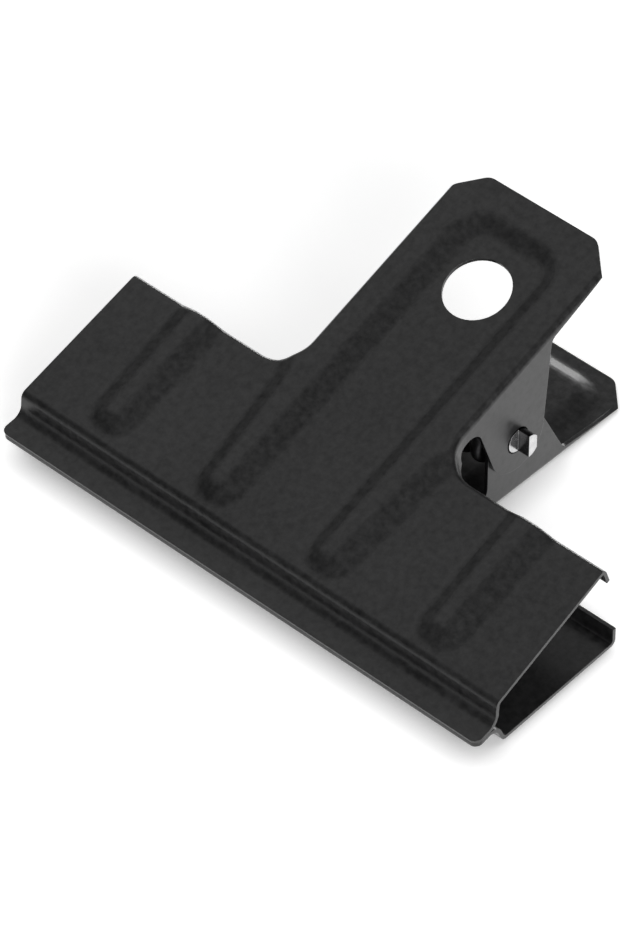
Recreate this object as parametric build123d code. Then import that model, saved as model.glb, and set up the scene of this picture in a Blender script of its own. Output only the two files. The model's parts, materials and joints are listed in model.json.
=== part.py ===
from build123d import *
from collections import namedtuple
import math
import os

os.makedirs("parts", exist_ok=True)

# Frame: X across the jaws, Y from the lips to the handle end, Z up; the lower plate lies on its rib crests.
# Each plate is drawn in its own frame: X across, Y along the sheet from the lip edge, Z out of the clip,
# with the outer face of the flat jaw at Z = 0. All sizes are in mm and degrees.

# Sheet and plan of a plate
SHEET = 0.5             # thickness of the sheet
JAW_WIDTH = 76.0        # across the lip edge
JAW_TAPER = 0.85        # how far each side has drawn in by the back of the jaw
JAW_LENGTH = 25.1       # lip edge to the back of the jaw
UPPER_LENGTH = 58.8     # lip edge to the end of the upper handle
LOWER_LENGTH = 59.35    # and of the lower
HANDLE_WIDTH = 24.0     # outside width of the upper handle, ears included
END_CHAMFER = 3.6       # corner cut at the handle end
END_CORNER = 1.8        # plan radius where that cut meets the end
LIP_CORNER = 1.0        # plan radius of the lip corners
ROOT_RADIUS = 4.5       # plan radius between handle and jaw
OPEN_ANGLE = 20.0       # angle between the plates with the lips closed

# Lip: a flat grip face that lies on the mid plane of the clip, then a step up to the jaw
LIP_DROP = 2.25         # outer lip edge below the outer jaw face
LIP_FLAT = 3.4          # lip edge to the foot of the step
CREASE = 4.65           # lip edge to the top of the step
VALLEY_RADIUS = 1.6     # outside radius at the foot of the step
CREASE_RADIUS = 1.1     # outside radius at the top of the step
LIP_GAP = 0.02          # daylight between the closed lips

# Stamped ribs, raised outward
RIB_HEIGHT = 0.8
FLANK_ANGLE = 19.0      # slope of a rib flank
FLANK_RADIUS = 3.2      # outside radius at the foot and the crest of a flank
SHORT_RIB_SHIFT = 0.35  # middle of a short rib, out from midway between a long rib and the jaw side
SHORT_RIB_FRONT = 6.1   # lip edge to the front of a short rib
SHORT_RIB_WIDTH = 6.3   # across its feet at the front
SHORT_RIB_SPREAD = 0.4  # how far each side opens out by the back of the jaw
LONG_RIB_FRONT = 6.0    # lip edge to the front of a long rib
UPPER_RIB_INNER = 5.6   # inner foot of a long rib of the upper plate, and so the side of its sunk panel
LOWER_RIB_INNER = 6.6   # and of the lower plate, whose panel is wider
LONG_RIB_WIDTH = 6.2    # across its feet at the front
LONG_RIB_ROOT = 13.4    # its outer foot at the handle root
LONG_RIB_TURN = 0.6     # jaw left behind the point where the outer foot turns away
LONG_RIB_CORNER = 3.0   # plan radius of that turn
UPPER_RIM_END = 6.15    # width of the raised rim at the end of the upper handle
LOWER_RIM_END = 4.3     # and of the lower handle, whose panel is longer
PANEL_CORNER = 2.2      # plan radius of the panel corners
NOSE_FLAT = 0.3         # straight left in the middle of a rib's rounded front

# Bent edges and ears
BEND_RADIUS = 0.8       # outside radius of the bent edges
FLANGE = 2.6            # depth of the flange behind the jaw
EAR_RADIUS = 4.6        # round end of an ear about the pivot
EAR_BACK = 45.6         # lip edge to the back of the ear at its root
EAR_BACK_DEPTH = 0.4    # depth of the side flange there
TAPER_END = 55.5        # where the side flange has run out
TAPER_END_RISE = 0.3    # height of its edge there
NOTCH_WIDTH = 4.0       # relief in the flange, in front of the ear
NOTCH_DEPTH = 1.3       # depth of the flange left above the relief
NOTCH_RADIUS = 1.9      # corner of the relief at the ear
RELIEF_RADIUS = 1.2     # its other corner, and the one behind the ear
EAR_GAP = 0.1           # side play between an upper and a lower ear

# Hanging hole
HOLE_DIAMETER = 8.6
HOLE_AT = 46.0          # lip edge to its centre

# Pivot pin
PIVOT_Y = 36.4          # lip edge to the pivot, along the lower plate
PIVOT_DROP = 8.4        # pivot to the outer jaw face of the lower plate
PIN_DIAMETER = 3.3
PIN_FIT = 0.01          # radial, pin in the lower ears, where it stays put
PIN_PLAY = 0.18         # radial, pin in the upper ears, which turn on it
PIN_TONGUE = 1.7        # how far the tongue left standing by the shear reaches out
TONGUE_THICKNESS = 1.4
PIN_PROUD = 0.05        # the sheared front half just clears the outer ear

# Torsion spring
WIRE = 1.8              # across the corners of its section
WIRE_SIDES = 10
COIL_RADIUS = 3.8       # to the middle of the wire
COIL_TURNS = 7          # whole turns, besides the part turn between the legs
LEG_SPACING = 18.6      # between the two legs, across the clip
LEG_REACH = 11.0        # pivot to the bend of a leg, along its plate
LEG_BEND = 3.0          # bend radius where a leg meets its plate
LEG_FOOT = 3.2          # straight foot that lies on the plate
LEG_SEAT = 0.03         # daylight under a foot

# Construction aids
OVER = 6.0              # how far the working blocks run past the finished edges
FAR = 22.0              # half width of the raised ground behind the jaw, before trimming
TINY = 1e-4

HALF_ANGLE = math.radians(OPEN_ANGLE / 2)
TILT = math.radians(OPEN_ANGLE)
UPPER_HALF = HANDLE_WIDTH / 2
LOWER_HALF = UPPER_HALF - SHEET - EAR_GAP
BLOCK_DEPTH = PIVOT_DROP + 2 * EAR_RADIUS

# Lower plate to clip: turned over about Y and lifted by the rib height.
# Upper plate to clip: tilted about X so that both grip faces lie on the mid plane.
LIP_Z = RIB_HEIGHT + LIP_DROP + (SHEET + LIP_GAP / 2) / math.cos(HALF_ANGLE)
LIP_OUT = RIB_HEIGHT - LIP_Z
UPPER_Y = math.sin(TILT) * LIP_OUT
UPPER_Z = LIP_Z - math.cos(TILT) * LIP_OUT
TO_LOWER = Pos(0, 0, RIB_HEIGHT) * Rot(0, 180, 0)
TO_UPPER = Pos(0, UPPER_Y, UPPER_Z) * Rot(OPEN_ANGLE, 0, 0)

# Pivot in the clip, and as (along, out) in each plate
PIVOT_Z = RIB_HEIGHT + PIVOT_DROP
LOWER_PIVOT = (PIVOT_Y, -PIVOT_DROP)
UPPER_PIVOT = (
    math.cos(TILT) * (PIVOT_Y - UPPER_Y) + math.sin(TILT) * (PIVOT_Z - UPPER_Z),
    math.cos(TILT) * (PIVOT_Z - UPPER_Z) - math.sin(TILT) * (PIVOT_Y - UPPER_Y),
)

Plate = namedtuple("Plate", "half length rib_inner rim_end pivot play")
UPPER = Plate(UPPER_HALF, UPPER_LENGTH, UPPER_RIB_INNER, UPPER_RIM_END, UPPER_PIVOT, PIN_PLAY)
LOWER = Plate(LOWER_HALF, LOWER_LENGTH, LOWER_RIB_INNER, LOWER_RIM_END, LOWER_PIVOT, PIN_FIT)


def offset_chain(points, inward):
    """The polyline moved to its right by the given distance, with its corners kept."""
    lines = []
    for a, b in zip(points, points[1:]):
        span = math.dist(a, b)
        d = ((b[0] - a[0]) / span, (b[1] - a[1]) / span)
        lines.append(((a[0] + inward * d[1], a[1] - inward * d[0]), d, span))
    moved = [lines[0][0]]
    for (p, d, _), (q, e, _) in zip(lines, lines[1:]):
        run = ((q[0] - p[0]) * e[1] - (q[1] - p[1]) * e[0]) / (d[0] * e[1] - d[1] * e[0])
        moved.append((p[0] + run * d[0], p[1] + run * d[1]))
    p, d, span = lines[-1]
    moved.append((p[0] + span * d[0], p[1] + span * d[1]))
    return moved


def round_corners(sketch, corners, radius):
    """The sketch with the named corners rounded."""
    chosen = [v for v in sketch.vertices() if any(math.dist((v.X, v.Y), c) < TINY for c in corners)]
    return fillet(chosen, radius)


def flat_edges(body, level):
    """Edges of the body that lie wholly at one height."""
    found = []
    for edge in body.edges():
        box = edge.bounding_box()
        if abs(box.min.Z - level) < TINY and abs(box.max.Z - level) < TINY:
            found.append(edge)
    return found


def long_rib_ground(plate):
    """Plan of the two long ribs and the rim that joins them round the sunk panel."""
    turn = JAW_LENGTH - LONG_RIB_TURN
    outer = plate.rib_inner + LONG_RIB_WIDTH
    right = [
        (plate.rib_inner, plate.length - plate.rim_end),
        (plate.rib_inner, LONG_RIB_FRONT),
        (outer, LONG_RIB_FRONT),
        (LONG_RIB_ROOT, turn),
        (FAR, turn + FAR - LONG_RIB_ROOT),
        (FAR, plate.length + OVER),
    ]
    left = [(-x, y) for x, y in reversed(right)]
    plan = Polygon(*right, *left, align=None)
    nose = (LONG_RIB_WIDTH - NOSE_FLAT) / 2
    plan = round_corners(plan, [right[1], right[2], left[-2], left[-3]], nose)
    plan = round_corners(plan, [right[0], left[-1]], PANEL_CORNER)
    return round_corners(plan, [right[3], left[-4]], LONG_RIB_CORNER)


def short_rib_ground(side):
    """Plan of one short jaw rib, which runs out over the back of the jaw."""
    midway = (LONG_RIB_ROOT + JAW_WIDTH / 2) / 2
    middle = side * (midway + SHORT_RIB_SHIFT)
    near = SHORT_RIB_WIDTH / 2
    back = near + SHORT_RIB_SPREAD
    behind = JAW_LENGTH + OVER / 2
    front = [(middle - near, SHORT_RIB_FRONT), (middle + near, SHORT_RIB_FRONT)]
    rear = [(middle + back, behind), (middle - back, behind)]
    plan = Polygon(*front, *rear, align=None)
    return round_corners(plan, front, near - NOSE_FLAT / 2)


def pressing(plate, inward):
    """The block under the outer face of a plate, with all its faces moved in by the given distance."""
    slope = math.tan(HALF_ANGLE)
    step = math.atan2(LIP_DROP + LIP_FLAT * slope, CREASE - LIP_FLAT)
    flat_front = CREASE + CREASE_RADIUS * math.tan(step / 2)
    end = plate.length + 2 * OVER
    section = [
        (-OVER, OVER * slope - LIP_DROP),
        (LIP_FLAT, -LIP_FLAT * slope - LIP_DROP),
        (CREASE, 0),
        (end, 0),
    ]
    section = offset_chain(section, inward)
    profile = Polygon(*section, (end, -BLOCK_DEPTH), (-OVER, -BLOCK_DEPTH), align=None)
    profile = round_corners(profile, [section[1]], VALLEY_RADIUS + inward)
    profile = round_corners(profile, [section[2]], CREASE_RADIUS - inward)
    ground = extrude(Plane.YZ * profile, JAW_WIDTH / 2 + OVER, both=True)

    draw_in = inward * math.tan(math.radians(FLANK_ANGLE / 2))
    for plan in (long_rib_ground(plate), short_rib_ground(1), short_rib_ground(-1)):
        if inward:
            plan = offset(plan, -draw_in)
        ground += extrude(Pos(0, 0, -inward) * plan, RIB_HEIGHT, taper=90 - FLANK_ANGLE)
    feet = []
    for edge in flat_edges(ground, -inward):
        at = edge.center()
        inside = abs(at.X) < JAW_WIDTH / 2 + OVER - TINY and at.Y < end - TINY
        if inside and at.Y > flat_front + TINY:
            feet.append(edge)
    ground = fillet(feet, FLANK_RADIUS + inward)
    ground = fillet(flat_edges(ground, RIB_HEIGHT - inward), FLANK_RADIUS - inward)

    wall = plate.half - inward
    back = JAW_LENGTH - inward
    roots = [(wall, back), (-wall, back)]
    plan = Polygon(
        (-JAW_WIDTH / 2 - OVER, -OVER),
        (JAW_WIDTH / 2 + OVER, -OVER),
        (JAW_WIDTH / 2 + OVER, back),
        roots[0],
        (wall, plate.length + OVER),
        (-wall, plate.length + OVER),
        roots[1],
        (-JAW_WIDTH / 2 - OVER, back),
        align=None,
    )
    plan = round_corners(plan, roots, ROOT_RADIUS + inward)
    block = ground & extrude(Pos(0, 0, -BLOCK_DEPTH) * plan, BLOCK_DEPTH + OVER)

    root = ROOT_RADIUS + inward

    def on_wall(p):
        x = abs(p.X)
        if x > wall + root - TINY:
            return abs(p.Y - back) < TINY
        if p.Y > back + root - TINY:
            return abs(x - wall) < TINY
        return abs(math.hypot(x - wall - root, p.Y - back - root) - root) < TINY

    rim = []
    for edge in block.edges():
        box = edge.bounding_box()
        if box.min.Z > -RIB_HEIGHT - SHEET and all(on_wall(edge @ (step / 4)) for step in range(5)):
            rim.append(edge)
    return fillet(rim, BEND_RADIUS - inward)


def ear_side(plate):
    """Side view of what is kept of a plate: lip, flange behind the jaw, ear and tapering side flange."""
    along, out = plate.pivot
    back = (EAR_BACK, -EAR_BACK_DEPTH)
    reach = math.dist(back, plate.pivot)
    bearing = math.atan2(back[1] - out, back[0] - along) - math.acos(EAR_RADIUS / reach)
    touch = (along + EAR_RADIUS * math.cos(bearing), out + EAR_RADIUS * math.sin(bearing))
    front = along - EAR_RADIUS
    lip_depth = LIP_DROP + 2 * FLANGE
    notch = [(front - NOTCH_WIDTH, -FLANGE), (front - NOTCH_WIDTH, -NOTCH_DEPTH), (front, -NOTCH_DEPTH)]
    side = Polygon(
        (-OVER, OVER),
        (-OVER, -lip_depth),
        (CREASE + LIP_FLAT, -lip_depth),
        (CREASE + LIP_FLAT, -FLANGE),
        *notch,
        (front, out),
        (along, out),
        touch,
        back,
        (TAPER_END, TAPER_END_RISE),
        (plate.length + OVER, TAPER_END_RISE),
        (plate.length + OVER, OVER),
        align=None,
    )
    side = round_corners(side, [notch[2]], NOTCH_RADIUS)
    side = round_corners(side, [notch[1], back], RELIEF_RADIUS)
    return side + Pos(along, out) * Circle(EAR_RADIUS)


def jaw_plate(plate):
    """One stamped plate: ribbed jaw, lip, handle and two ears, in its own frame."""
    sheet = pressing(plate, 0) - pressing(plate, SHEET)
    behind = JAW_LENGTH + OVER
    drawn_in = JAW_TAPER * behind / JAW_LENGTH
    right = [
        (JAW_WIDTH / 2, 0),
        (JAW_WIDTH / 2 - drawn_in, behind),
        (plate.half + SHEET, behind),
        (plate.half + SHEET, plate.length - END_CHAMFER - SHEET),
        (plate.half - END_CHAMFER, plate.length),
    ]
    left = [(-x, y) for x, y in reversed(right)]
    plan = Polygon(*right, *left, align=None)
    plan = round_corners(plan, [right[0], left[-1]], LIP_CORNER)
    plan = round_corners(plan, [right[-1], left[0]], END_CORNER)
    sheet = sheet & extrude(Pos(0, 0, -BLOCK_DEPTH) * plan, BLOCK_DEPTH + OVER)
    inside = 2 * (plate.half - BEND_RADIUS)
    kept = extrude(Plane.YZ * ear_side(plate), JAW_WIDTH, both=True)
    kept += Pos(0, plate.length / 2, 0) * Box(inside, plate.length + OVER, 2 * OVER)
    sheet = sheet & kept
    hole = Pos(0, HOLE_AT, 0) * Cylinder(HOLE_DIAMETER / 2, 2 * OVER)
    bearing = Pos(0, *plate.pivot) * Rot(0, 90, 0) * Cylinder(PIN_DIAMETER / 2 + plate.play, JAW_WIDTH)
    return sheet - hole - bearing


def pivot_pin():
    """Rod through the four ears; each end is sheared, and a flat tongue behind its middle stands out."""
    flush = 2 * (UPPER_HALF + PIN_PROUD)
    rod = Rot(0, 90, 0) * Cylinder(PIN_DIAMETER / 2, flush + 2 * PIN_TONGUE)
    for side in (-1, 1):
        shear = Box(PIN_TONGUE, PIN_DIAMETER, 2 * PIN_DIAMETER)
        at = side * (flush + PIN_TONGUE) / 2
        rod -= Pos(at, -PIN_DIAMETER / 2, 0) * shear
        rod -= Pos(at, PIN_DIAMETER / 2 + TONGUE_THICKNESS, 0) * shear
    return Pos(0, PIVOT_Y, PIVOT_Z) * rod


def leg(pivot):
    """Slope of a spring leg to its plate, and how far from the pivot its foot lies toward the plate."""
    height = -pivot[1] + RIB_HEIGHT - SHEET - LEG_SEAT - WIRE / 2
    slope = math.atan2(height, LEG_REACH) - math.asin(COIL_RADIUS / math.hypot(height, LEG_REACH))
    return slope, height


def biarc(start, start_way, end, end_way):
    """Two arcs that join two points with the given directions."""
    gap = end - start
    both = start_way + end_way
    turn = 2 * (1 - start_way.dot(end_way))
    reach = (-gap.dot(both) + math.sqrt(gap.dot(both) ** 2 + turn * gap.dot(gap))) / turn
    middle = (start + end + (start_way - end_way) * reach) / 2
    middle_way = (end - end_way * reach) - (start + start_way * reach)
    return [TangentArc(start, middle, tangent=start_way), TangentArc(middle, end, tangent=middle_way)]


def tube(section, edges):
    """One solid with the section carried along joined lines and arcs without twisting."""
    skin = []
    for edge in edges:
        if edge.geom_type == GeomType.CIRCLE:
            axis = Axis(edge.arc_center, (edge @ 0 - edge.arc_center).cross(edge % 0))
            piece = revolve(section, axis, math.degrees(edge.length / edge.radius))
        else:
            piece = extrude(section, edge.length, edge % 0)
        start = piece.faces().sort_by_distance(edge @ 0)[0]
        section = piece.faces().sort_by_distance(edge @ 1)[0]
        if not skin:
            skin.append(start)
        skin += [face for face in piece.faces() if face not in (start, section)]
    return Solid(Shell([*skin, section]))


def torsion_spring():
    """Coil round the pin; one leg leaves each end and bears in the rim of its plate."""
    lower_slope, lower_height = leg(LOWER_PIVOT)
    upper_slope, upper_height = leg(UPPER_PIVOT)
    half = LEG_SPACING / 2

    def upper_point(along, toward):
        y = PIVOT_Y + along * math.cos(TILT) - toward * math.sin(TILT)
        return Vector(half, y, PIVOT_Z + along * math.sin(TILT) + toward * math.cos(TILT))

    def lower_point(along, toward):
        return Vector(-half, PIVOT_Y + along, PIVOT_Z - toward)

    def leg_points(point, slope, height):
        root = point(-COIL_RADIUS * math.sin(slope), COIL_RADIUS * math.cos(slope))
        cut = LEG_BEND * math.tan(slope / 2)
        bend = point(LEG_REACH - cut * math.cos(slope), height - cut * math.sin(slope))
        flat = point(LEG_REACH + cut, height)
        tip = point(LEG_REACH + cut + LEG_FOOT, height)
        return root, bend, flat, tip

    def leg_lines(a, b, c, d):
        return [Line(a, b), TangentArc(b, c, tangent=b - a), Line(c, d)]

    upper_leg = leg_lines(*reversed(leg_points(upper_point, upper_slope, upper_height)))
    lower_leg = leg_lines(*leg_points(lower_point, lower_slope, lower_height))
    first = math.pi / 2 + TILT + upper_slope
    last = 3 * math.pi / 2 - lower_slope + 2 * math.pi * COIL_TURNS
    pieces = math.ceil((last - first) / (math.pi / 2))
    step = (last - first) / pieces
    rise = -LEG_SPACING / (last - first)
    stations = []
    for i in range(pieces + 1):
        a = first + i * step
        y = PIVOT_Y + COIL_RADIUS * math.cos(a)
        at = Vector(half + rise * i * step, y, PIVOT_Z + COIL_RADIUS * math.sin(a))
        ends = i in (0, pieces)
        way = Vector(0 if ends else rise, -COIL_RADIUS * math.sin(a), COIL_RADIUS * math.cos(a))
        stations.append((at, way.normalized()))
    coil = []
    for (p, u), (q, w) in zip(stations, stations[1:]):
        coil += biarc(p, u, q, w)
    edges = [line.edge() for line in (*upper_leg, *coil, *lower_leg)]
    section = Plane(origin=edges[0] @ 0, z_dir=edges[0] % 0) * RegularPolygon(WIRE / 2, WIRE_SIDES)
    return tube(section.face(), edges), Wire(edges)


def least_gap(path):
    """Least daylight between parts of the wire that are more than a half turn apart along it."""
    count = math.ceil(path.length / (WIRE / 4))
    points = [path @ (i / count) for i in range(count + 1)]
    apart = math.ceil(math.pi * COIL_RADIUS / (path.length / count))
    least = path.length
    for i, p in enumerate(points):
        for q in points[i + apart:]:
            least = min(least, (q - p).length)
    return least - WIRE


spring, wire_path = torsion_spring()
nodes = {
    "lower_jaw_plate": TO_LOWER * jaw_plate(LOWER),
    "upper_jaw_plate": TO_UPPER * jaw_plate(UPPER),
    "pivot_pin": pivot_pin(),
    "torsion_spring": spring,
}
box = Compound(children=[Compound(shape.wrapped) for shape in nodes.values()]).bounding_box()
centre = Pos(-box.center().X, -box.center().Y, -box.min.Z)
for name, shape in nodes.items():
    shape = centre * shape
    solids = shape.solids()
    export_step(shape, f"parts/{name}.step")
    size = shape.bounding_box()
    print(name, len(solids), shape.is_valid, round(shape.volume, 2), size.min, size.max)
pivot = Vector(0, PIVOT_Y, PIVOT_Z) + centre.position
print("pivot", pivot, "upper pivot", UPPER_PIVOT)
print("least gap of the wire to itself", round(least_gap(wire_path), 3))
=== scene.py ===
import bpy
import json
import math
from mathutils import Matrix, Vector


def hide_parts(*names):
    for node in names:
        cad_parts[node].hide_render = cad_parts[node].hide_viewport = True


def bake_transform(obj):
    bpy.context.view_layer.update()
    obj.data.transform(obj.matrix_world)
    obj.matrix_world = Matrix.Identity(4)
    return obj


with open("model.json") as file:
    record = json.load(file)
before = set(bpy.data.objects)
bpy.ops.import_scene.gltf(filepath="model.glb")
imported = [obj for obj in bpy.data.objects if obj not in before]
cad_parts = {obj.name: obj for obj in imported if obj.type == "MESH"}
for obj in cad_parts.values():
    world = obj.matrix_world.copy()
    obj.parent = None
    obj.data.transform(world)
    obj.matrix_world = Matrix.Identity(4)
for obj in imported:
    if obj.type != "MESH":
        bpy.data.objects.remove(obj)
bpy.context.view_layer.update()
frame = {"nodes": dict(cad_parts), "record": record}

# Lengths are in metres and angles in radians, unless a comment says otherwise.
nodes = frame["nodes"]
hinge = frame["record"]["behaviour"]["joints"][0]


def add_mesh(name, vertices, faces):
    mesh = bpy.data.meshes.new(name)
    mesh.from_pydata(vertices, [], faces)
    piece = bpy.data.objects.new(name, mesh)
    bpy.context.scene.collection.objects.link(piece)
    return piece


# Camera: the photograph's viewing angle, with the image taken as 621 x 931.
AZIMUTH = math.radians(42.858)
ELEVATION = math.radians(43.794)
ROLL = math.radians(-0.093)
DISTANCE = 0.66866
TARGET = Vector((0.0, -0.016237, 0.013466))
FOCAL_PX = 5748.6
IMAGE_HEIGHT = 931       # pixels
SENSOR = 36.0            # millimetres
CLIP_START = 0.01


def make_camera():
    back = Vector((
        math.sin(AZIMUTH) * math.cos(ELEVATION),
        -math.cos(AZIMUTH) * math.cos(ELEVATION),
        math.sin(ELEVATION),
    ))
    right = Vector((math.cos(AZIMUTH), math.sin(AZIMUTH), 0.0))
    up = back.cross(right)
    rolled_right = math.cos(ROLL) * right + math.sin(ROLL) * up
    rolled_up = -math.sin(ROLL) * right + math.cos(ROLL) * up
    data = bpy.data.cameras.new("camera")
    data.sensor_fit = "VERTICAL"
    data.sensor_height = SENSOR
    data.lens = FOCAL_PX * SENSOR / IMAGE_HEIGHT
    data.clip_start = CLIP_START
    camera = bpy.data.objects.new("camera", data)
    turn = Matrix((rolled_right, rolled_up, back)).transposed().to_4x4()
    camera.matrix_world = Matrix.Translation(TARGET + back * DISTANCE) @ turn
    bpy.context.scene.collection.objects.link(camera)
    bpy.context.scene.camera = camera


make_camera()


# Torsion spring: round wire in place of the ten-sided solid, along the same legs and coil.
WIRE_RADIUS = 0.0009
COIL_RADIUS = 0.0038     # to the middle of the wire
COIL_TURNS = 7
LEG_X = 0.0093           # middle of the clip to each leg
LEG_REACH = 0.011        # pivot to the corner of leg and foot, along the plate
LEG_BEND = 0.003         # radius of that corner
LEG_FOOT = 0.0032        # straight end that lies on the plate
LOWER_SEAT = 0.00777     # pivot to the wire's middle where a foot lies on the lower plate
UPPER_SEAT = 0.009295    # the same on the upper plate
OPEN_ANGLE = math.radians(20)    # between the plates at rest
END_CHAMFER = 0.15       # share of the wire's radius
WIRE_SIDES = 16
COIL_STEPS = 320
BEND_STEPS = 6


def spring_path():
    """Points along the middle of the wire, from the tip on the upper plate to the tip on the lower."""
    pivot = Vector(hinge["pos_m"])

    def upper(along, toward):
        turned = Matrix.Rotation(OPEN_ANGLE, 3, "X") @ Vector((0, along, toward))
        return pivot + Vector((LEG_X, 0, 0)) + turned

    def lower(along, toward):
        return pivot + Vector((-LEG_X, along, -toward))

    def slope(seat):
        """Angle between a leg and its plate."""
        return math.atan2(seat, LEG_REACH) - math.asin(COIL_RADIUS / math.hypot(seat, LEG_REACH))

    def leg(place, seat):
        lean = slope(seat)
        cut = LEG_BEND * math.tan(lean / 2)
        middle = (LEG_REACH + cut, seat - LEG_BEND)
        points = [place(LEG_REACH + cut + LEG_FOOT, seat)]
        for i in range(BEND_STEPS + 1):
            a = lean * i / BEND_STEPS
            points.append(place(middle[0] - LEG_BEND * math.sin(a), middle[1] + LEG_BEND * math.cos(a)))
        return points

    first = math.pi / 2 + OPEN_ANGLE + slope(UPPER_SEAT)
    last = 3 * math.pi / 2 - slope(LOWER_SEAT) + 2 * math.pi * COIL_TURNS
    coil = []
    for i in range(COIL_STEPS + 1):
        t = i / COIL_STEPS
        a = first + (last - first) * t
        ring = Vector((0, COIL_RADIUS * math.cos(a), COIL_RADIUS * math.sin(a)))
        coil.append(pivot + Vector((LEG_X * (1 - 2 * t), 0, 0)) + ring)
    return leg(upper, UPPER_SEAT) + coil + list(reversed(leg(lower, LOWER_SEAT)))


def make_tube(name, path, radius, sides):
    """Mesh tube along a path, its rings carried without twist, with chamfered ends."""
    ways = []
    for i in range(len(path)):
        ways.append((path[min(i + 1, len(path) - 1)] - path[max(i - 1, 0)]).normalized())
    across = ways[0].orthogonal().normalized()
    rings = []
    for i, (at, way) in enumerate(zip(path, ways)):
        if i:
            across = (ways[i - 1].rotation_difference(way) @ across).normalized()
        rings.append((at, way, across, radius))
    chamfer = END_CHAMFER * radius
    at, way, across, _ = rings[0]
    rings[0] = (at + way * chamfer, way, across, radius)
    rings.insert(0, (at, way, across, radius - chamfer))
    at, way, across, _ = rings[-1]
    rings[-1] = (at - way * chamfer, way, across, radius)
    rings.append((at, way, across, radius - chamfer))
    vertices = []
    for at, way, across, r in rings:
        other = way.cross(across)
        for k in range(sides):
            a = 2 * math.pi * k / sides
            vertices.append(at + r * (math.cos(a) * across + math.sin(a) * other))
    faces = []
    for i in range(len(rings) - 1):
        for k in range(sides):
            n = (k + 1) % sides
            faces.append((i * sides + k, i * sides + n, (i + 1) * sides + n, (i + 1) * sides + k))
    faces.append(tuple(reversed(range(sides))))
    faces.append(tuple(range((len(rings) - 1) * sides, len(rings) * sides)))
    tube = add_mesh(name, vertices, faces)
    tube.data.shade_smooth()
    return tube


spring = make_tube("spring_wire", spring_path(), WIRE_RADIUS, WIRE_SIDES)
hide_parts("torsion_spring")


# Materials: noise scales are in cells per metre, and a pair is a range, of numbers or of colours.
FULL = (0.0, 1.0)
BEVEL_SAMPLES = 6
MIX_A, MIX_B, MIX_RESULT = 6, 7, 2       # places of the colour sockets on a Mix node
PAINT_COLOURS = ((0.005, 0.005, 0.0052), (0.014, 0.014, 0.0143))
PAINT_ROUGHNESS = (0.29, 0.42)
PAINT_SPECULAR = (0.40, 0.60)
PAINT_IOR = 1.53
MOTTLE_SHARE = 0.6       # of the fine mottle in the paint's tone
CLOUD_SHARE = 0.4        # of the broad clouds in it
# Paler edge colour: partly paint rubbed through, partly a painted edge highlight.
EDGE_HIGHLIGHT_AND_WEAR_COLOUR = (0.12, 0.12, 0.122)
EDGE_HIGHLIGHT_AND_WEAR_SHARE = 0.6       # of that colour where the edges are palest, partly rubbed paint and partly a painted edge highlight
RUBBED_SMOOTHING = 0.08  # roughness lost there
BARE_COLOURS = ((0.42, 0.42, 0.425), (0.60, 0.60, 0.60))
ROD_COLOURS = ((0.04, 0.04, 0.041), (0.12, 0.12, 0.122))
PIN_ROUGHNESS = (0.16, 0.30)
WIRE_COLOURS = ((0.045, 0.045, 0.047), (0.13, 0.13, 0.133))
WIRE_ROUGHNESS = (0.36, 0.52)


def new_material(name):
    material = bpy.data.materials.new(name)
    material.use_nodes = True
    tree = material.node_tree
    place = tree.nodes.new("ShaderNodeTexCoord").outputs["Object"]
    return material, tree, tree.nodes["Principled BSDF"], place


def noise(tree, place, scale, detail, roughness=0.5, stretch=None):
    if stretch:
        mapping = tree.nodes.new("ShaderNodeMapping")
        mapping.inputs["Scale"].default_value = stretch
        tree.links.new(place, mapping.inputs["Vector"])
        place = mapping.outputs["Vector"]
    node = tree.nodes.new("ShaderNodeTexNoise")
    node.inputs["Scale"].default_value = scale
    node.inputs["Detail"].default_value = detail
    node.inputs["Roughness"].default_value = roughness
    tree.links.new(place, node.inputs["Vector"])
    return node.outputs["Fac"]


def axis(tree, coordinates, name):
    """One axis of the named texture coordinates."""
    split = tree.nodes.new("ShaderNodeSeparateXYZ")
    tree.links.new(tree.nodes.new("ShaderNodeTexCoord").outputs[coordinates], split.inputs["Vector"])
    return split.outputs[name]


def spread(tree, value, span, to):
    """The value mapped linearly from one range to another, clamped."""
    node = tree.nodes.new("ShaderNodeMapRange")
    for socket, number in zip(("From Min", "From Max", "To Min", "To Max"), (*span, *to)):
        node.inputs[socket].default_value = number
    tree.links.new(value, node.inputs["Value"])
    return node.outputs["Result"]


def combine(tree, operation, a, b):
    node = tree.nodes.new("ShaderNodeMath")
    node.operation = operation
    for socket, value in zip(node.inputs, (a, b)):
        if isinstance(value, float):
            socket.default_value = value
        else:
            tree.links.new(value, socket)
    return node.outputs["Value"]


def mix_colour(tree, share, a, b):
    node = tree.nodes.new("ShaderNodeMix")
    node.data_type = "RGBA"
    tree.links.new(share, node.inputs["Factor"])
    for socket, value in ((node.inputs[MIX_A], a), (node.inputs[MIX_B], b)):
        if isinstance(value, tuple):
            socket.default_value = (*value, 1)
        else:
            tree.links.new(value, socket)
    return node.outputs[MIX_RESULT]


def rounded_normal(tree, radius):
    node = tree.nodes.new("ShaderNodeBevel")
    node.samples = BEVEL_SAMPLES
    node.inputs["Radius"].default_value = radius
    return node.outputs["Normal"]


def edge_share(tree, radius, span):
    """0 on open faces, rising to 1 near edges, over a span of cosines between rounded and true normal."""
    facing = tree.nodes.new("ShaderNodeVectorMath")
    facing.operation = "DOT_PRODUCT"
    tree.links.new(rounded_normal(tree, radius), facing.inputs[0])
    tree.links.new(tree.nodes.new("ShaderNodeNewGeometry").outputs["Normal"], facing.inputs[1])
    return spread(tree, facing.outputs["Value"], span, to=FULL)


def bump(tree, height, normal, distance, strength):
    node = tree.nodes.new("ShaderNodeBump")
    node.inputs["Strength"].default_value = strength
    node.inputs["Distance"].default_value = distance
    tree.links.new(height, node.inputs["Height"])
    tree.links.new(normal, node.inputs["Normal"])
    return node.outputs["Normal"]


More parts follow.
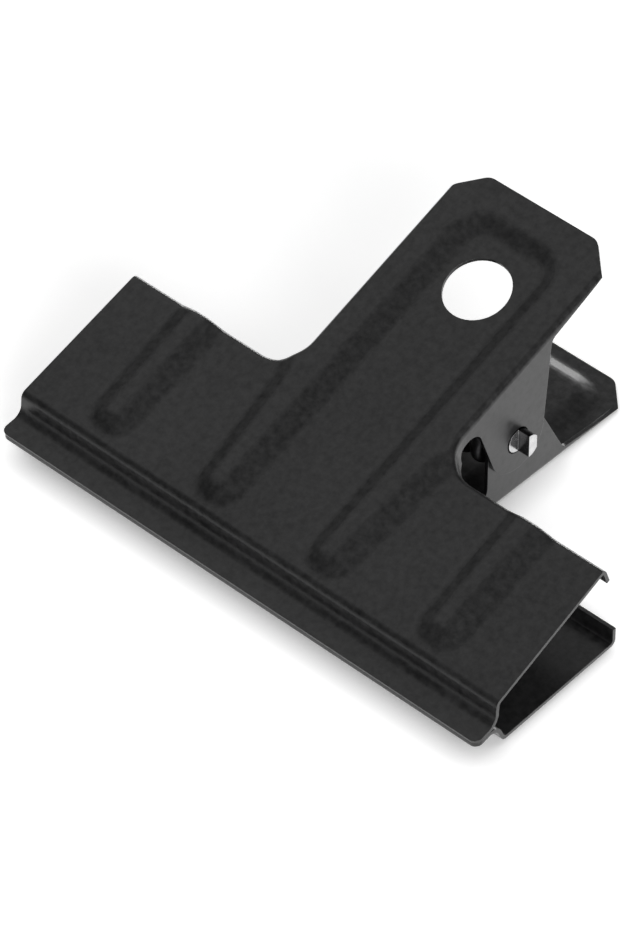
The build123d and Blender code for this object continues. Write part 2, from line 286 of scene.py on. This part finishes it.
def black_paint():
    """Satin black baked paint: mottled, finely grained, paler along the edges, partly rubbed through and
    partly a painted edge highlight.
    """
    material, tree, shader, place = new_material("black_paint")
    mottle = noise(tree, place, scale=1100, detail=4, roughness=0.6)
    cloud = noise(tree, place, scale=70, detail=2)
    grain = noise(tree, place, scale=3800, detail=2, roughness=0.6)
    tone = combine(
        tree, "ADD",
        combine(tree, "MULTIPLY", mottle, MOTTLE_SHARE),
        combine(tree, "MULTIPLY", cloud, CLOUD_SHARE),
    )
    plain = mix_colour(tree, spread(tree, tone, (0.35, 0.65), to=FULL), *PAINT_COLOURS)
    # Paler along the edges: partly paint rubbed through, partly a painted edge highlight.
    rubbed_and_highlit = combine(
        tree, "MULTIPLY",
        edge_share(tree, radius=0.00013, span=(0.985, 0.80)),
        spread(tree, noise(tree, place, scale=1500, detail=4, roughness=0.65), (0.38, 0.62), to=(0.15, 1.0)),
    )
    colour = mix_colour(tree, combine(tree, "MULTIPLY", rubbed_and_highlit, EDGE_HIGHLIGHT_AND_WEAR_SHARE), plain, EDGE_HIGHLIGHT_AND_WEAR_COLOUR)
    tree.links.new(colour, shader.inputs["Base Color"])
    rough = combine(
        tree, "SUBTRACT",
        spread(tree, mottle, (0.3, 0.7), to=PAINT_ROUGHNESS),
        combine(tree, "MULTIPLY", rubbed_and_highlit, RUBBED_SMOOTHING),
    )
    tree.links.new(rough, shader.inputs["Roughness"])
    shader.inputs["IOR"].default_value = PAINT_IOR
    tree.links.new(spread(tree, mottle, (0.32, 0.68), to=PAINT_SPECULAR), shader.inputs["Specular IOR Level"])
    normal = rounded_normal(tree, radius=0.00012)
    normal = bump(tree, mottle, normal, distance=0.00002, strength=0.3)
    normal = bump(tree, grain, normal, distance=0.00001, strength=0.6)
    tree.links.new(normal, shader.inputs["Normal"])
    return material


def pin_steel():
    """Steel rod, dark along its length and drawn, bare and torn on the sheared end faces."""
    material, tree, shader, place = new_material("pin_steel")
    drawn = noise(tree, place, scale=1400, detail=3, roughness=0.6, stretch=(0.05, 1, 1))
    torn = noise(tree, place, scale=2600, detail=4, roughness=0.7, stretch=(1, 0.35, 1))
    stain = noise(tree, place, scale=500, detail=3)
    facing = combine(tree, "ABSOLUTE", axis(tree, "Normal", "X"), 0.0)
    end_face = spread(tree, facing, (0.6, 0.9), to=FULL)
    patchy = spread(tree, stain, (0.35, 0.65), to=FULL)
    bare = mix_colour(tree, patchy, *BARE_COLOURS)
    dark = mix_colour(tree, patchy, *ROD_COLOURS)
    tree.links.new(mix_colour(tree, end_face, dark, bare), shader.inputs["Base Color"])
    tree.links.new(spread(tree, torn, (0.3, 0.7), to=PIN_ROUGHNESS), shader.inputs["Roughness"])
    shader.inputs["Metallic"].default_value = 1
    normal = rounded_normal(tree, radius=0.0001)
    normal = bump(tree, drawn, normal, distance=0.00001, strength=0.3)
    normal = bump(tree, torn, normal, distance=0.00002, strength=0.35)
    tree.links.new(normal, shader.inputs["Normal"])
    return material


def spring_steel():
    """Dark oil-tempered wire with faint mottling and brighter worn patches."""
    material, tree, shader, place = new_material("spring_steel")
    mottle = noise(tree, place, scale=2200, detail=3, roughness=0.6)
    rubbed_and_highlit = noise(tree, place, scale=420, detail=4, roughness=0.6)
    colour = mix_colour(tree, spread(tree, rubbed_and_highlit, (0.45, 0.7), to=FULL), *WIRE_COLOURS)
    tree.links.new(colour, shader.inputs["Base Color"])
    tree.links.new(spread(tree, mottle, (0.3, 0.7), to=WIRE_ROUGHNESS), shader.inputs["Roughness"])
    shader.inputs["Metallic"].default_value = 1
    normal = rounded_normal(tree, radius=0.00005)
    normal = bump(tree, mottle, normal, distance=0.00001, strength=0.3)
    tree.links.new(normal, shader.inputs["Normal"])
    return material


def dress(piece, material):
    piece.data.materials.clear()
    piece.data.materials.append(material)


paint = black_paint()
dress(nodes["lower_jaw_plate"], paint)
dress(nodes["upper_jaw_plate"], paint)
dress(nodes["pivot_pin"], pin_steel())
dress(spring, spring_steel())


# White floor: a disc that turns up into a low wall all round.
COVE = [(1.9, 0.0), (2.2, 0.03), (2.4, 0.13), (2.5, 0.32), (2.5, 0.45)]    # radius and height of each ring
COVE_SIDES = 72
FLOOR_COLOUR = (0.85, 0.85, 0.85, 1)
SEEN_GLOW = 0.65
SHADE_REACH = 0.006              # how near a piece has to be to dim the seen glow
SHADE_SPAN = (0.3, 0.9)          # openness over which it is dimmed
SHADE_SHARES = (0.25, 1.0)       # shares of the glow left at the two ends of that span
MIRRORED_SPAN = (-0.06, -0.02)   # Y over which the mirrored glow rises out of a painted shadow in front of the lips
MIRRORED_GLOW = (0.0, 0.82)      # its strength at the two ends of that span, none in the painted shadow


def floor_material():
    """White that glows when seen, dimmed close to the clip as painted contact shade, and glows when mirrored,
    except in front of the lips, where a painted shadow is left.
    """
    material = bpy.data.materials.new("white_floor")
    material.use_nodes = True
    tree = material.node_tree
    tree.nodes.clear()
    out = tree.nodes.new("ShaderNodeOutputMaterial")
    both = tree.nodes.new("ShaderNodeAddShader")
    diffuse = tree.nodes.new("ShaderNodeBsdfDiffuse")
    diffuse.inputs["Color"].default_value = FLOOR_COLOUR
    glow = tree.nodes.new("ShaderNodeEmission")
    path = tree.nodes.new("ShaderNodeLightPath")
    seen = combine(tree, "MAXIMUM", path.outputs["Is Camera Ray"], path.outputs["Is Transmission Ray"])
    seen = combine(tree, "MULTIPLY", seen, SEEN_GLOW)
    # Mirrored glow left out in front of the lips: a painted shadow of the clip, seen in reflections.
    near = spread(tree, axis(tree, "Object", "Y"), MIRRORED_SPAN, to=MIRRORED_GLOW)
    mirrored = combine(tree, "MULTIPLY", path.outputs["Is Glossy Ray"], near)
    # Ambient occlusion dims the seen glow near the clip: painted contact shade.
    shade = tree.nodes.new("ShaderNodeAmbientOcclusion")
    shade.inputs["Distance"].default_value = SHADE_REACH
    seen = combine(tree, "MULTIPLY", seen, spread(tree, shade.outputs["AO"], SHADE_SPAN, to=SHADE_SHARES))
    tree.links.new(combine(tree, "MAXIMUM", seen, mirrored), glow.inputs["Strength"])
    tree.links.new(diffuse.outputs[0], both.inputs[0])
    tree.links.new(glow.outputs[0], both.inputs[1])
    tree.links.new(both.outputs[0], out.inputs["Surface"])
    return material


def make_floor():
    vertices = [(0, 0, 0)]
    for r, z in COVE:
        for k in range(COVE_SIDES):
            a = 2 * math.pi * k / COVE_SIDES
            vertices.append((r * math.cos(a), r * math.sin(a), z))
    faces = []
    for k in range(COVE_SIDES):
        n = (k + 1) % COVE_SIDES
        faces.append((0, 1 + k, 1 + n))
        for i in range(len(COVE) - 1):
            low = 1 + i * COVE_SIDES
            high = low + COVE_SIDES
            faces.append((low + k, high + k, high + n, low + n))
    floor = add_mesh("floor", vertices, faces)
    dress(floor, floor_material())


make_floor()


# Light: a broad soft box high on the left, a fill on the right, a strip low behind, and a sky paler overhead.
LAMPS = {
    # direction from the origin, distance, two sizes and power in watts
    "soft_box": ((-0.62, 0.15, 0.79), 1.08, 1.0, 0.75, 1.16),
    "fill": ((0.75, -0.50, 0.43), 1.0, 0.5, 0.5, 7.5),
    "behind": ((-0.49, 0.87, 0.06), 1.3, 0.7, 0.14, 4.5),
}
SKY_SPAN = (0.5, 1.0)            # upward share of the direction, 1 straight overhead
SKY_STRENGTH = (0.12, 0.36)


def add_lamp(name, way, distance, size, size_y, energy):
    light = bpy.data.lights.new(name, "AREA")
    light.shape = "RECTANGLE"
    light.size = size
    light.size_y = size_y
    light.energy = energy
    lamp = bpy.data.objects.new(name, light)
    way = Vector(way).normalized()
    lamp.location = way * distance
    lamp.rotation_euler = way.to_track_quat("Z", "Y").to_euler()
    bpy.context.scene.collection.objects.link(lamp)


def make_sky():
    world = bpy.data.worlds.new("world")
    bpy.context.scene.world = world
    world.use_nodes = True
    tree = world.node_tree
    background = tree.nodes["Background"]
    background.inputs["Color"].default_value = (1, 1, 1, 1)
    strength = spread(tree, axis(tree, "Generated", "Z"), SKY_SPAN, to=SKY_STRENGTH)
    tree.links.new(strength, background.inputs["Strength"])


for lamp_name, lamp_values in LAMPS.items():
    add_lamp(lamp_name, *lamp_values)
make_sky()
bpy.context.scene.view_settings.view_transform = "Standard"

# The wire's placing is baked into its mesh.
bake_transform(spring)
